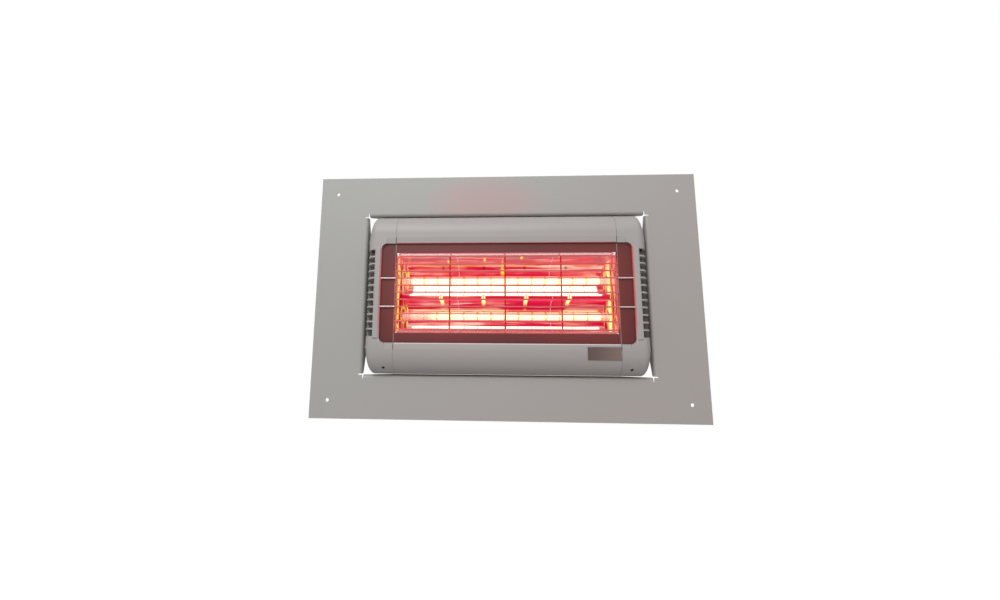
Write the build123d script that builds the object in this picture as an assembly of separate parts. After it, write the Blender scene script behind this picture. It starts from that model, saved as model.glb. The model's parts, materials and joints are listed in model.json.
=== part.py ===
from build123d import *
import math
import os

# Recessed infrared patio heater. X runs to the right, Y into the wall, Z up, in millimetres.
# The origin is the middle of the four screw holes, on the front face of the recess plate.

# Lamps, which set the length of everything round them
lamp_length = 350.0
lamp_cold_end = 35.0
lamp_y = 25.0
tube_d = 11.0
tube_wall = 1.0
filament_d = 3.0
filament_lead_d = 0.8
support_pitch = 20.0
support_t = 0.6
support_play = 0.2
lamp_cap_d = 12.0
lamp_cap_length = 15.5
lamp_pin_d = 5.0
lamp_pin_length = 1.5

# Heater body, outside
lamp_end_overhang = 20.5
end_panel_width = 21.0
strip_step = 0.7
strip_width = 7.8
strip_proud = 1.5
strip_end = 3.0
strip_corner_r = 1.2
cap_end_reach = 14.5
lip_proud = 20.0
front_r = 27.5
back_r = 12.0
frame_height = 43.5
profile_wall = 2.5
gasket_t = 0.8
gasket_width = 5.0
gasket_set_in = 0.3

# Window in the front of the body and its dark surround
window_half_height = 70.0
window_corner_r = 8.0
window_bevel_height = 8.5
window_bevel_depth = 1.0
panel_height = 13.5
panel_recess = 4.0
panel_t = 1.5
panel_gap = 0.2
ledge_t = 2.0
ledge_width = 10.0

# Recess plate, folded from sheet
plate_border_x = 73.0
plate_border_z = 60.0
plate_sheet = 1.5
plate_hole_inset = 25.0
plate_hole_d = 5.0
flange_depth = 22.0
flange_end_depth = 8.0
flange_mitre = 40.0
flange_bend_r = 3.0
relief_length = 5.5
relief_width = 1.5
side_gap = 3.5
top_gap = 1.5

# End caps
cap_wall = 3.0
cap_side_depth = 26.0
cap_top_round = 31.0
cap_ledge = 5.5
cap_opening_play = 1.5
round_sections = 7
fin_count = 11
fin_pitch = 10.2
fin_t = 2.2
fin_end_gap = 10.0
fin_slot_gap = 0.5
fin_floor_inner_y = 10.0
fin_floor_outer_y = 2.0
fin_floor_t = 2.5
drain_d = 4.0
drain_inset = 7.0
drain_angle = 41.0
cap_boss_d = 9.0
cap_screw_inset = 14.5
cap_screw_front_y = 10.0
cap_screw_back_inset = 14.0
cap_screw_d = 4.0
cap_screw_length = 22.0
screw_play = 0.3
screw_head_t = 2.4
port_d = 8.5

# Fixings between the flanges and the end caps
fixing_inset = 36.5
fixing_y = 13.0
fixing_d = 5.0
fixing_head_d = 9.0
fixing_head_t = 3.0
fixing_spacer_d = 9.0
fixing_boss_d = 11.0
fixing_boss_length = 8.0
fixing_length = 14.0

# Wire guard
wire_d = 2.0
ring_wire_d = 2.2
guard_recess = 1.4
ring_end_gap = 1.0
ring_edge_gap = 5.0
ring_corner_r = 6.0
cross_pitch = 10.0
cross_each_side = 4
long_cross_step = 2
long_cross_bite = 1.7
wire_hole_play = 0.3
upright_pitch = 77.5

# Lamp holders and their contacts
holder_grip = 10.0
holder_half_height = 10.0
holder_floor = 4.9
holder_lip = 10.0
holder_play = 0.4
holder_end_room = 2.0
holder_end_wall = 3.0
holder_ear_height = 5.0
holder_ear_t = 6.0
spring_pocket_d = 7.6
spring_pocket_length = 8.5
contact_gap = 0.3
contact_head_d = 7.0
contact_head_t = 3.2
contact_stem_d = 3.0
contact_stem_past = 1.5
contact_play = 0.3
spring_wire_d = 0.7
spring_coil_d = 5.4
spring_turns = 5
tail_width = 5.0
tail_t = 0.8

# Holder brackets
bracket_t = 2.0
bracket_past_holder = 5.0
bracket_past_mirror = 7.5
bracket_foot = 12.0
bracket_hole_d = 14.0
holder_screw_d = 3.0
holder_screw_length = 10.0
holder_screw_head_d = 4.8
holder_screw_inset = 12.5

# Trough reflectors
mirror_t = 0.8
mirror_lip_hidden = 3.0
mirror_lip_slope = 3.2
mirror_lip_depth = 2.5
trough_ahead_of_lamp = 3.0
trough_top_inset = 8.5
trough_bottom_inset = 3.0
ridge_ahead_of_lamp = 13.0
ridge_z = -4.0
ridge_half_height = 4.5
lamp_above_ridge = 26.0
lamp_below_ridge = 27.0
mirror_end_gap = 0.5
mirror_lean = 8.0
mirror_back_gap = 1.45
flute_count = 11
flute_depth = 1.0
lamp_hole_play = 2.5
ridge_fixing_pitch = 62.0
ridge_fixing_count = 4
post_d = 6.0
post_bore = 3.2
ridge_screw_d = 3.0
ridge_screw_length = 12.0
ridge_screw_head_d = 7.0
ridge_screw_head_t = 1.6

# Rear panel and what it carries
lead_room = 11.0
rear_t = 2.0
rear_end_gap = 0.5
rear_inset = 21.5
rear_overlap = 14.0
rear_screw_d = 4.0
rear_screw_head_d = 7.5
rear_screw_inset = 7.0
rear_screw_pitch = 90.0
rear_screw_length = 7.0
box_width = 120.0
box_height = 72.0
box_depth = 36.0
box_wall = 2.5
box_corner_r = 5.0
lid_t = 2.0
lid_seal_t = 1.0
lid_screw_d = 3.5
lid_screw_head_d = 6.5
lid_post_d = 8.0
lid_screw_length = 12.0
box_screw_length = 6.0
lead_hole_d = 14.0
grommet_lip = 2.0
grommet_bore = 10.0
block_width = 44.0
block_height = 20.0
block_depth = 16.0
block_x = -22.0
block_screw_d = 4.0
block_screw_count = 3
block_screw_sunk = 1.0
block_end_room = 3.0
wire_way_d = 4.2
earth_x = 40.0
earth_d = 5.0
earth_length = 16.5
earth_nut_d = 9.0
earth_nut_t = 3.6
gland_x = 22.0
gland_thread_d = 20.0
gland_thread_end = 1.0
gland_hex = 24.0
gland_flange_t = 5.0
gland_bore = 14.0
gland_neck = 10.0
gland_nut_d = 26.0
gland_nut_length = 16.0
gland_seal_bore = 9.0
gland_outlet = 11.0
gland_seal_length = 14.0
gland_play = 0.2
locknut_t = 4.0

# Leads
lead_d = 3.2
lead_bend_r = 7.0
lead_play = 0.16
lead_row_gap = 5.0
lead_row_z = 5.0

# Plate on the lower profile, left bare
badge_width = 44.5
badge_height = 17.0
badge_t = 0.6
badge_end_margin = 0.5
badge_below_window = 4.0

# How far a cutting tool runs past a face
past = 1.0

# Places that follow from the sizes above, along X
lamp_end = lamp_length / 2
heated_length = lamp_length - 2 * lamp_cold_end
profile_half_length = lamp_end - lamp_end_overhang
cap_start = profile_half_length + gasket_t
window_half_width = profile_half_length + end_panel_width
cap_strip_edge = window_half_width + strip_step + strip_width
cap_opening_edge = window_half_width - cap_ledge
body_half_width = cap_strip_edge + cap_end_reach
opening_half_width = body_half_width + side_gap
plate_width = 2 * (opening_half_width + plate_border_x)
drain_x = window_half_width - drain_inset
mirror_front_half = profile_half_length - mirror_end_gap
mirror_back_half = mirror_front_half - mirror_lean
ring_half_width = mirror_front_half - ring_end_gap
rear_half_width = profile_half_length - rear_end_gap
holder_inner_x = lamp_end - holder_grip
holder_pocket_end = lamp_end + holder_end_room
spring_pocket_end = holder_pocket_end + spring_pocket_length
contact_stem_end = spring_pocket_end + contact_stem_past
holder_outer_x = spring_pocket_end + holder_end_wall
holder_screw_x = holder_outer_x - holder_screw_inset
bracket_inner_x = holder_inner_x - bracket_past_holder

# Along Z
body_half_height = window_half_height + frame_height
opening_half_height = body_half_height + top_gap
plate_height = 2 * (opening_half_height + plate_border_z)
mirror_half_height = window_half_height - panel_height
cap_opening_half_height = mirror_half_height + cap_opening_play
end_mirror_half_height = mirror_half_height - mirror_end_gap
ring_half_height = mirror_half_height - ring_edge_gap
bracket_half_height = mirror_half_height + bracket_past_mirror
trough_top_z = mirror_half_height - trough_top_inset
trough_bottom_z = trough_bottom_inset - mirror_half_height
trough_radius = (trough_top_z - ridge_z - ridge_half_height) / 2
fin_zone_half_height = (fin_count - 1) / 2 * fin_pitch + fin_end_gap
cap_screw_z = body_half_height - cap_screw_inset
fixing_z = body_half_height - fixing_inset
rear_half_height = body_half_height - rear_inset
rear_opening_half_height = rear_half_height - rear_overlap
rear_screw_z = rear_half_height - rear_screw_inset
badge_top_z = -window_half_height - badge_below_window
lamp_zs = {"upper": ridge_z + lamp_above_ridge, "lower": ridge_z - lamp_below_ridge}

# Along Y
lip_y = -lip_proud
guard_y = lip_y + guard_recess
panel_y = lip_y + panel_recess
panel_back = panel_y + panel_t
mirror_mouth_y = panel_back + mirror_lip_depth
bend_outer_r = flange_bend_r + plate_sheet
holder_front_y = lamp_y - holder_lip
holder_back_y = lamp_y + lamp_cap_d / 2 + holder_play + holder_floor
trough_back_y = lamp_y - trough_ahead_of_lamp
ridge_y = lamp_y - ridge_ahead_of_lamp
mirror_back_plane = trough_back_y + trough_radius + mirror_t + mirror_back_gap
lead_run_y = mirror_back_plane + lead_room
body_back = lead_run_y + lead_room
cap_screw_back_y = body_back - cap_screw_back_inset
rear_face = body_back + rear_t


def block(x0, x1, y0, y1, z0, z1):
    """A box between two corners."""
    return Pos((x0 + x1) / 2, (y0 + y1) / 2, (z0 + z1) / 2) * Box(abs(x1 - x0), abs(y1 - y0), abs(z1 - z0))


def rod_x(x0, x1, y, z, d):
    """A round bar along X."""
    return Pos((x0 + x1) / 2, y, z) * Rot(0, 90, 0) * Cylinder(d / 2, abs(x1 - x0))


def rod_y(y0, y1, x, z, d):
    """A round bar along Y."""
    return Pos(x, (y0 + y1) / 2, z) * Rot(90, 0, 0) * Cylinder(d / 2, abs(y1 - y0))


def rod_z(z0, z1, x, y, d):
    """A round bar along Z."""
    return Pos(x, y, (z0 + z1) / 2) * Cylinder(d / 2, abs(z1 - z0))


def other_side(shape):
    """The mirror image across the middle of the heater."""
    return mirror(shape, about=Plane.YZ)


def group(solids):
    """Separate solids kept together in one node."""
    return Compound(children=[s for shape in solids for s in shape.solids()])


def fold_strip(length, at, turn):
    """One folded edge along local Z: a quarter bend and a straight leg with mitred ends."""
    leg_end = flange_depth - bend_outer_r
    strip = extrude(
        make_face([
            CenterArc((0, 0), bend_outer_r, 270, 90),
            Line((bend_outer_r, 0), (bend_outer_r, leg_end)),
            Line((bend_outer_r, leg_end), (flange_bend_r, leg_end)),
            Line((flange_bend_r, leg_end), (flange_bend_r, 0)),
            CenterArc((0, 0), flange_bend_r, 270, 90),
            Line((0, -flange_bend_r), (0, -bend_outer_r)),
        ]),
        amount=length / 2, both=True)
    corner = make_face(Plane.YZ * Polyline(
        (flange_end_depth - bend_outer_r, length / 2), (leg_end, length / 2 - flange_mitre),
        (leg_end + past, length / 2 - flange_mitre), (leg_end + past, length / 2 + past),
        (flange_end_depth - bend_outer_r, length / 2 + past), close=True))
    mitre = extrude(corner, amount=bend_outer_r + past, both=True)
    return Pos(*at) * turn * (strip - mitre - mirror(mitre, about=Plane.XY))


def recess_plate():
    """Flat sheet with an opening whose edges are folded back, cut free at the corners."""
    w = opening_half_width
    h = opening_half_height
    b = bend_outer_r
    plate = block(-plate_width / 2, plate_width / 2, 0, plate_sheet, -plate_height / 2, plate_height / 2)
    back = plate_sheet + past
    plate -= block(-w - b, w + b, -past, back, -h, h)
    plate -= block(-w, w, -past, back, -h - b, h + b)
    for sx in (-1, 1):
        for sz in (-1, 1):
            plate -= block(sx * w, sx * (w + relief_length), -past, back, sz * h, sz * (h - relief_width))
            plate -= block(sx * w, sx * (w - relief_width), -past, back, sz * h, sz * (h + relief_length))
            x = sx * (plate_width / 2 - plate_hole_inset)
            z = sz * (plate_height / 2 - plate_hole_inset)
            plate -= rod_y(-past, back, x, z, plate_hole_d)
    side = fold_strip(2 * (h - relief_width), (-w - b, b, 0), Rot(0, 0, 0))
    top = fold_strip(2 * (w - relief_width), (0, b, h + b), Rot(0, 90, 0))
    for s in (-1, 1):
        side -= rod_x(-w - b, -w + b, fixing_y, s * fixing_z, fixing_d + screw_play)
    return plate + side + other_side(side) + top + mirror(top, about=Plane.XY)


def section_wire(x, front, top, r_front, back, r_back):
    """Outline of the body in the plane at x: flat front and back, rounded corners."""
    zf = top - r_front
    zb = top - r_back
    edges = [
        Line((front, -zf), (front, zf)),
        ThreePointArc((front, zf), (front + r_front * (1 - math.sqrt(0.5)), zf + r_front * math.sqrt(0.5)),
                      (front + r_front, top)),
        Line((front + r_front, top), (back - r_back, top)),
        ThreePointArc((back - r_back, top), (back - r_back * (1 - math.sqrt(0.5)), zb + r_back * math.sqrt(0.5)),
                      (back, zb)),
        Line((back, zb), (back, -zb)),
        ThreePointArc((back, -zb), (back - r_back * (1 - math.sqrt(0.5)), -zb - r_back * math.sqrt(0.5)),
                      (back - r_back, -top)),
        Line((back - r_back, -top), (front + r_front, -top)),
        ThreePointArc((front + r_front, -top),
                      (front + r_front * (1 - math.sqrt(0.5)), -zf - r_front * math.sqrt(0.5)), (front, -zf)),
    ]
    return Plane(origin=(x, 0, 0), x_dir=(0, 1, 0), z_dir=(1, 0, 0)) * Wire(edges)


def body_bar(x0, x1, inset):
    """The body's section as a straight bar, drawn in by a wall."""
    face = make_face(section_wire(x0, lip_y + inset, body_half_height - inset, front_r - inset,
                                  body_back - inset, back_r - inset))
    return extrude(face, amount=x1 - x0, dir=(1, 0, 0))


def rounded_end(inset):
    """The right end of the body, rounded off to its side, drawn in by a wall."""
    wires = []
    for k in range(round_sections):
        turn = k / (round_sections - 1) * math.pi / 2
        fall = 1 - math.cos(turn)
        x = cap_strip_edge + (cap_end_reach - inset) * math.sin(turn)
        wires.append(section_wire(x, lip_y + inset + cap_side_depth * fall,
                                  body_half_height - inset - cap_top_round * fall, front_r - inset,
                                  body_back - inset, back_r - inset))
    return loft([make_face(w) for w in wires])


def window_cut(x0, x1, half_height, y0, y1, corner_r=0.0):
    """A rectangular cut in the front, its far corners rounded where a radius is given."""
    cut = block(x0, x1, y0, y1, -half_height, half_height)
    if corner_r:
        cut = fillet(cut.edges().filter_by(Axis.Y).sort_by(Axis.X)[-2:], corner_r)
    return cut


def window_bevel():
    """Section of the shallow slope over the window's upper edge, in the plane across the heater."""
    edge = window_half_height
    return make_face(Plane.YZ * Polyline(
        (lip_y - past, edge - past), (lip_y + window_bevel_depth, edge - past), (lip_y + window_bevel_depth, edge),
        (lip_y, edge + window_bevel_height), (lip_y - past, edge + window_bevel_height), close=True))


def fin_zone(behind, low, high):
    """The space outside the light strip between two heights, down to a floor that rises outwards."""
    inner = cap_strip_edge + (fin_slot_gap if behind == 0 else 0)
    floor = make_face(Polyline(
        (inner, lip_y - past), (body_half_width + past, lip_y - past),
        (body_half_width + past, fin_floor_outer_y + behind), (inner, fin_floor_inner_y + behind), close=True))
    return Pos(0, 0, low) * extrude(floor, amount=high - low, dir=(0, 0, 1))


def light_strip():
    """Raised strip between the window and the fins."""
    end = fin_zone_half_height + strip_end
    strip = block(window_half_width + strip_step, cap_strip_edge, lip_y - strip_proud, lip_y + cap_wall, -end, end)
    front = strip.faces().sort_by(Axis.Y)[0]
    return fillet(front.edges(), strip_corner_r)


def housing_profile():
    """Upper extruded profile, with the window's edge, ledge, rear flange and screw ports."""
    half = profile_half_length
    shell = body_bar(-half, half, 0) - body_bar(-half - past, half + past, profile_wall)
    shell += block(-half, half, lip_y + profile_wall, panel_back + ledge_t,
                   window_half_height, window_half_height + profile_wall)
    shell += block(-half, half, panel_back, panel_back + ledge_t,
                   window_half_height - ledge_width, window_half_height + profile_wall)
    shell -= block(-half - past, half + past, lip_y - past, panel_back, -window_half_height, window_half_height)
    shell -= extrude(window_bevel(), amount=half + past, both=True)
    for y in (cap_screw_front_y, cap_screw_back_y):
        shell += rod_x(-half, half, y, cap_screw_z, port_d)
        shell += block(-half, half, y - profile_wall / 2, y + profile_wall / 2, cap_screw_z,
                       body_half_height - profile_wall / 2)
    for y in (cap_screw_front_y, cap_screw_back_y):
        shell -= rod_x(-half - past, half + past, y, cap_screw_z, cap_screw_d)
    shell -= block(-half - past, half + past, lip_y - past, body_back + past, -body_half_height - past,
                   window_half_height - ledge_width)
    for i in (-1, 0, 1):
        shell -= rod_y(body_back - profile_wall - past, body_back + past, i * rear_screw_pitch, rear_screw_z,
                       rear_screw_d)
    return shell


def rear_closed(shell):
    """Cuts the profile's rear flange back to the rear panel's opening."""
    end = profile_half_length + past
    return shell - block(-end, end, mirror_back_plane, body_back + past, -rear_opening_half_height,
                         rear_opening_half_height)


def end_cap():
    """Right end cap: a rounded shell with a light strip, cooling fins and screw bosses."""
    outer = body_bar(cap_start, cap_strip_edge, 0) + rounded_end(0)
    shell = outer - (body_bar(cap_start - past, cap_strip_edge, cap_wall) + rounded_end(cap_wall))
    ledge = block(cap_start, window_half_width + cap_wall, lip_y + past, panel_back + ledge_t,
                  -window_half_height - cap_wall, window_half_height + cap_wall)
    shell += ledge
    shell -= window_cut(cap_start - past, window_half_width, window_half_height, lip_y - past, panel_back,
                        window_corner_r)
    shell -= window_cut(cap_start - past, cap_opening_edge, cap_opening_half_height, lip_y - past, holder_back_y)
    bevel_end = window_half_width - window_corner_r
    top_bevel = Pos(cap_start - past, 0, 0) * extrude(window_bevel(), amount=bevel_end - cap_start + past,
                                                      dir=(1, 0, 0))
    shell -= top_bevel + mirror(top_bevel, about=Plane.XY)
    shell += fin_zone(fin_floor_t, -fin_zone_half_height, fin_zone_half_height) & outer
    shell += light_strip()
    top_fin = (fin_count - 1) / 2
    edges_z = [(k - top_fin) * fin_pitch for k in range(fin_count)]
    gaps = [(a + fin_t / 2, b - fin_t / 2) for a, b in zip(edges_z, edges_z[1:])]
    gaps += [(edges_z[-1] + fin_t / 2, fin_zone_half_height), (-fin_zone_half_height, edges_z[0] - fin_t / 2)]
    for low, high in gaps:
        shell -= fin_zone(0.0, low, high)
    for z in (cap_screw_z, -cap_screw_z):
        for y in (cap_screw_front_y, cap_screw_back_y):
            boss = rod_x(cap_start, body_half_width, y, z, cap_boss_d) & outer
            shell += boss
    for z in (cap_screw_z, -cap_screw_z):
        for y in (cap_screw_front_y, cap_screw_back_y):
            shell -= rod_x(cap_start - past, body_half_width + past, y, z, cap_screw_d + screw_play)
            shell -= rod_x(cap_start + cap_wall, body_half_width + past, y, z, cap_boss_d - profile_wall)
    inner = body_half_width - cap_wall
    for s in (-1, 1):
        shell += rod_x(inner - fixing_boss_length, inner + past, fixing_y, s * fixing_z, fixing_boss_d)
        shell -= rod_x(inner - fixing_boss_length - past, body_half_width + past, fixing_y, s * fixing_z, fixing_d)
        shell -= rod_x(window_half_width - past, window_half_width + long_cross_bite + wire_hole_play, guard_y,
                       s * long_cross_step * cross_pitch, wire_d + 2 * wire_hole_play)
    drain_dir = Vector(0, -math.cos(math.radians(drain_angle)), -math.sin(math.radians(drain_angle)))
    centre = Vector(drain_x, lip_y + front_r, -(body_half_height - front_r))
    drain = Plane(origin=centre + drain_dir * (front_r - 2 * cap_wall), z_dir=drain_dir) * Cylinder(
        drain_d / 2, 4 * cap_wall, align=(Align.CENTER, Align.CENTER, Align.MIN))
    return shell - drain


def end_gasket():
    """Flat seal between the right ends of the profiles and the end cap."""
    seal = body_bar(profile_half_length, cap_start, gasket_set_in)
    seal -= body_bar(profile_half_length - past, cap_start + past, gasket_width)
    seal -= block(profile_half_length - past, cap_start + past, lip_y - past, panel_back + ledge_t,
                  -window_half_height - window_bevel_height, window_half_height + window_bevel_height)
    for z in (cap_screw_z, -cap_screw_z):
        for y in (cap_screw_front_y, cap_screw_back_y):
            seal -= rod_x(profile_half_length - past, cap_start + past, y, z, cap_screw_d + screw_play)
    return seal


def window_panels():
    """Four dark panels round the window: top, bottom, left and right."""
    edge = window_half_height - panel_gap
    top = block(-cap_start + panel_gap, cap_start - panel_gap, panel_y, panel_back, mirror_half_height, edge)
    right = window_cut(cap_start, window_half_width - panel_gap, edge, panel_y, panel_back, window_corner_r)
    return {"window_panel_top": top, "window_panel_bottom": mirror(top, about=Plane.XY),
            "window_panel_left": other_side(right), "window_panel_right": right}


def guard():
    """Ring wire, cross wires in front of it, and upright wires level with the ring."""
    ring_y = guard_y + (wire_d + ring_wire_d) / 2
    ring_line = Plane(origin=(0, ring_y, 0), x_dir=(1, 0, 0), z_dir=(0, -1, 0)) * RectangleRounded(
        2 * ring_half_width, 2 * ring_half_height, ring_corner_r).wire()
    start = Plane(origin=ring_line @ 0, z_dir=ring_line % 0)
    ring = sweep(start * Circle(ring_wire_d / 2), path=ring_line)
    cross = []
    for k in range(-cross_each_side, cross_each_side + 1):
        z = k * cross_pitch
        reach = ring_half_width + ring_wire_d / 2
        if abs(k) == long_cross_step:
            reach = window_half_width + long_cross_bite
        cross.append(rod_x(-reach, reach, guard_y, z, wire_d))
    upright_end = ring_half_height - ring_wire_d / 2
    uprights = [rod_z(-upright_end, upright_end, k * upright_pitch, ring_y, wire_d) for k in (-1, 0, 1)]
    return {"guard_ring": ring, "guard_cross_wires": group(cross), "guard_upright_wires": group(uprights)}


def lamp(z):
    """One quartz lamp: tube, filament, filament supports, ceramic end caps and contact pins."""
    cap_inner = lamp_end - lamp_pin_length - lamp_cap_length
    tube = rod_x(-cap_inner, cap_inner, lamp_y, z, tube_d)
    tube -= rod_x(-cap_inner, cap_inner, lamp_y, z, tube_d - 2 * tube_wall)
    half = heated_length / 2
    filament = rod_x(-half, half, lamp_y, z, filament_d) + rod_x(-cap_inner, cap_inner, lamp_y, z, filament_lead_d)
    support_d = tube_d - 2 * tube_wall - 2 * support_play
    count = int(heated_length / support_pitch)
    supports = []
    for k in range(count + 1):
        x = -half + k * support_pitch
        x = min(max(x, -half + support_t / 2), half - support_t / 2)
        disc = rod_x(x - support_t / 2, x + support_t / 2, lamp_y, z, support_d)
        supports.append(disc - rod_x(x - support_t, x + support_t, lamp_y, z, filament_d))
    caps = []
    pins = []
    for s in (-1, 1):
        caps.append(rod_x(s * cap_inner, s * (lamp_end - lamp_pin_length), lamp_y, z, lamp_cap_d))
        pins.append(rod_x(s * (lamp_end - lamp_pin_length), s * lamp_end, lamp_y, z, lamp_pin_d))
    return {"tube": tube, "filament": filament, "supports": group(supports), "caps": group(caps),
            "pins": group(pins)}


def lamp_holder(z, sprung):
    """Right-hand ceramic holder, open to the front, with a pocket for its contact."""
    height = holder_half_height
    body = block(holder_inner_x, holder_outer_x, holder_front_y, holder_back_y, z - height, z + height)
    ears = block(holder_inner_x, holder_outer_x, holder_back_y - holder_ear_t, holder_back_y,
                 z - height - holder_ear_height, z + height + holder_ear_height)
    body += ears
    slot_r = lamp_cap_d / 2 + holder_play
    body -= rod_x(holder_inner_x - past, holder_pocket_end, lamp_y, z, 2 * slot_r)
    body -= block(holder_inner_x - past, holder_pocket_end, holder_front_y - past, lamp_y, z - slot_r, z + slot_r)
    if sprung:
        body -= rod_x(holder_pocket_end - past, spring_pocket_end, lamp_y, z, spring_pocket_d)
        body -= rod_x(holder_pocket_end, holder_outer_x + past, lamp_y, z, contact_stem_d + 2 * contact_play)
    else:
        body -= block(holder_pocket_end - past, holder_pocket_end + tail_t, lamp_y - tail_width / 2 - contact_play,
                      holder_back_y + past, z - tail_width / 2 - contact_play, z + tail_width / 2 + contact_play)
    for s in (-1, 1):
        body -= rod_y(holder_back_y - holder_ear_t - past, holder_back_y + past, holder_screw_x,
                      z + s * (height + holder_ear_height / 2), holder_screw_d + screw_play)
    return body


def fixed_contact(z):
    """Flat contact that lies against the holder's end wall and leaves through its back."""
    half = tail_width / 2
    face = block(holder_pocket_end, holder_pocket_end + tail_t, lamp_y - half, holder_back_y + bracket_t + tail_width,
                 z - half, z + half)
    pad = rod_x(lamp_end + contact_gap, holder_pocket_end, lamp_y, z, lamp_pin_d)
    return other_side(face + pad)


def sprung_contact(z):
    """Plunger that presses on the lamp's pin."""
    head_x = lamp_end + contact_gap
    head = rod_x(head_x, head_x + contact_head_t, lamp_y, z, contact_head_d)
    return head + rod_x(head_x, contact_stem_end, lamp_y, z, contact_stem_d)


def contact_spring(z):
    """Coil spring between the plunger's head and the end of its pocket."""
    start = lamp_end + contact_gap + contact_head_t + spring_wire_d / 2
    end = spring_pocket_end - spring_wire_d / 2
    path = Helix(pitch=(end - start) / spring_turns, height=end - start, radius=spring_coil_d / 2)
    section = Plane(origin=path @ 0, z_dir=path % 0) * Circle(spring_wire_d / 2)
    coil = sweep(section, path=path, is_frenet=True)
    return Pos(start, lamp_y, z) * Rot(0, 90, 0) * coil


def holder_bracket():
    """Right-hand bracket: a plate behind both holders on two legs from the end cap's back wall."""
    front = holder_back_y
    back = body_back - cap_wall
    outer_x = holder_outer_x
    plate = block(bracket_inner_x, outer_x, front, front + bracket_t, -bracket_half_height, bracket_half_height)
    for s in (-1, 1):
        plate += block(bracket_inner_x, outer_x, front, back, s * bracket_half_height,
                       s * (bracket_half_height - bracket_t))
        plate += block(bracket_inner_x, outer_x, back - bracket_t, back, s * bracket_half_height,
                       s * (bracket_half_height + bracket_foot))
    for z in lamp_zs.values():
        plate -= rod_y(front - past, front + bracket_t + past, holder_pocket_end, z, bracket_hole_d)
        for s in (-1, 1):
            plate -= rod_y(front - past, front + bracket_t + past, holder_screw_x,
                           z + s * (holder_half_height + holder_ear_height / 2), holder_screw_d)
    return plate


def holder_screws(side):
    """Four screws that hold a side's two holders to their bracket."""
    head_y = holder_back_y - holder_ear_t
    screws = []
    for z in lamp_zs.values():
        for s in (-1, 1):
            at = z + s * (holder_half_height + holder_ear_height / 2)
            x = side * holder_screw_x
            screws.append(rod_y(head_y - screw_head_t, head_y, x, at, holder_screw_head_d)
                          + rod_y(head_y, head_y + holder_screw_length, x, at, holder_screw_d))
    return screws


def mirror_taper(shrink):
    """Wedge between the two end reflectors, drawn in by a gap."""
    front = mirror_front_half - shrink
    back = mirror_back_half - shrink
    outline = Polyline((-front, mirror_mouth_y), (front, mirror_mouth_y), (back, mirror_back_plane),
                       (-back, mirror_back_plane), close=True)
    wedge = extrude(make_face(outline), amount=body_half_height, both=True)
    wedge += block(-front, front, lip_y, mirror_mouth_y, -body_half_height, body_half_height)
    return wedge


def trough(outer_z, inner_z, land_y, land_half):
    """Sheet of one mirror trough, from the lip behind the window panel to the ridge land."""
    s = 1 if outer_z > inner_z else -1
    t = mirror_t
    radius = abs(outer_z - inner_z) / 2
    mid = (outer_z + inner_z) / 2
    lip_z = s * mirror_half_height
    land_end = ridge_z - s * land_half
    inside = [
        Line((panel_back, lip_z + s * mirror_lip_hidden), (panel_back, lip_z)),
        Line((panel_back, lip_z), (mirror_mouth_y, lip_z - s * mirror_lip_slope)),
        Line((mirror_mouth_y, lip_z - s * mirror_lip_slope), (trough_back_y, outer_z)),
        ThreePointArc((trough_back_y, outer_z), (trough_back_y + radius, mid), (trough_back_y, inner_z)),
        Line((trough_back_y, inner_z), (land_y, inner_z)),
        Line((land_y, inner_z), (land_y, land_end)),
    ]
    outside = [
        Line((land_y + t, land_end), (land_y + t, inner_z - s * t)),
        Line((land_y + t, inner_z - s * t), (trough_back_y, inner_z - s * t)),
        ThreePointArc((trough_back_y, inner_z - s * t), (trough_back_y + radius + t, mid),
                      (trough_back_y, outer_z + s * t)),
        Line((trough_back_y, outer_z + s * t), (mirror_mouth_y + t, lip_z - s * mirror_lip_slope + s * t)),
        Line((mirror_mouth_y + t, lip_z - s * mirror_lip_slope + s * t), (panel_back + t, lip_z + s * t)),
        Line((panel_back + t, lip_z + s * t), (panel_back + t, lip_z + s * mirror_lip_hidden)),
    ]
    close_a = Line((land_y, land_end), (land_y + t, land_end))
    close_b = Line((panel_back + t, lip_z + s * mirror_lip_hidden), (panel_back, lip_z + s * mirror_lip_hidden))
    face = Plane.YZ * make_face(inside + [close_a] + outside + [close_b])
    sheet = extrude(face, amount=mirror_front_half, both=True) & mirror_taper(0)
    return sheet


def ridge_xs():
    """Places of the ridge fixings along the reflectors."""
    middle = (ridge_fixing_count - 1) / 2
    return [(k - middle) * ridge_fixing_pitch for k in range(ridge_fixing_count)]


def reflectors():
    """Upper and lower trough, the upper one's land lying over the lower one's."""
    upper = trough(trough_top_z, ridge_z + ridge_half_height, ridge_y, ridge_half_height)
    lower = trough(trough_bottom_z, ridge_z - ridge_half_height, ridge_y + mirror_t,
                   ridge_half_height - mirror_t - panel_gap)
    for x in ridge_xs():
        hole = rod_y(ridge_y - past, ridge_y + 2 * mirror_t + past, x, ridge_z, ridge_screw_d + screw_play)
        upper -= hole
        lower -= hole
    return {"upper_reflector": upper, "lower_reflector": lower}


def end_reflector():
    """Right end reflector: an upright fluted sheet leaning in towards the back."""
    points = []
    steps = 2 * flute_count
    for k in range(steps + 1):
        f = k / steps
        x = mirror_front_half + f * (mirror_back_half - mirror_front_half)
        y = mirror_mouth_y + f * (mirror_back_plane - mirror_mouth_y)
        points.append((x + (flute_depth if k % 2 else 0.0), y))
    back = [(x + mirror_t, y) for x, y in reversed(points)]
    sheet = extrude(make_face(Polyline(points + back, close=True)), amount=end_mirror_half_height, both=True)
    for z in lamp_zs.values():
        sheet -= rod_x(mirror_back_half - past, mirror_front_half + mirror_lean, lamp_y, z,
                       lamp_cap_d + lamp_hole_play)
    return sheet


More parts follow.
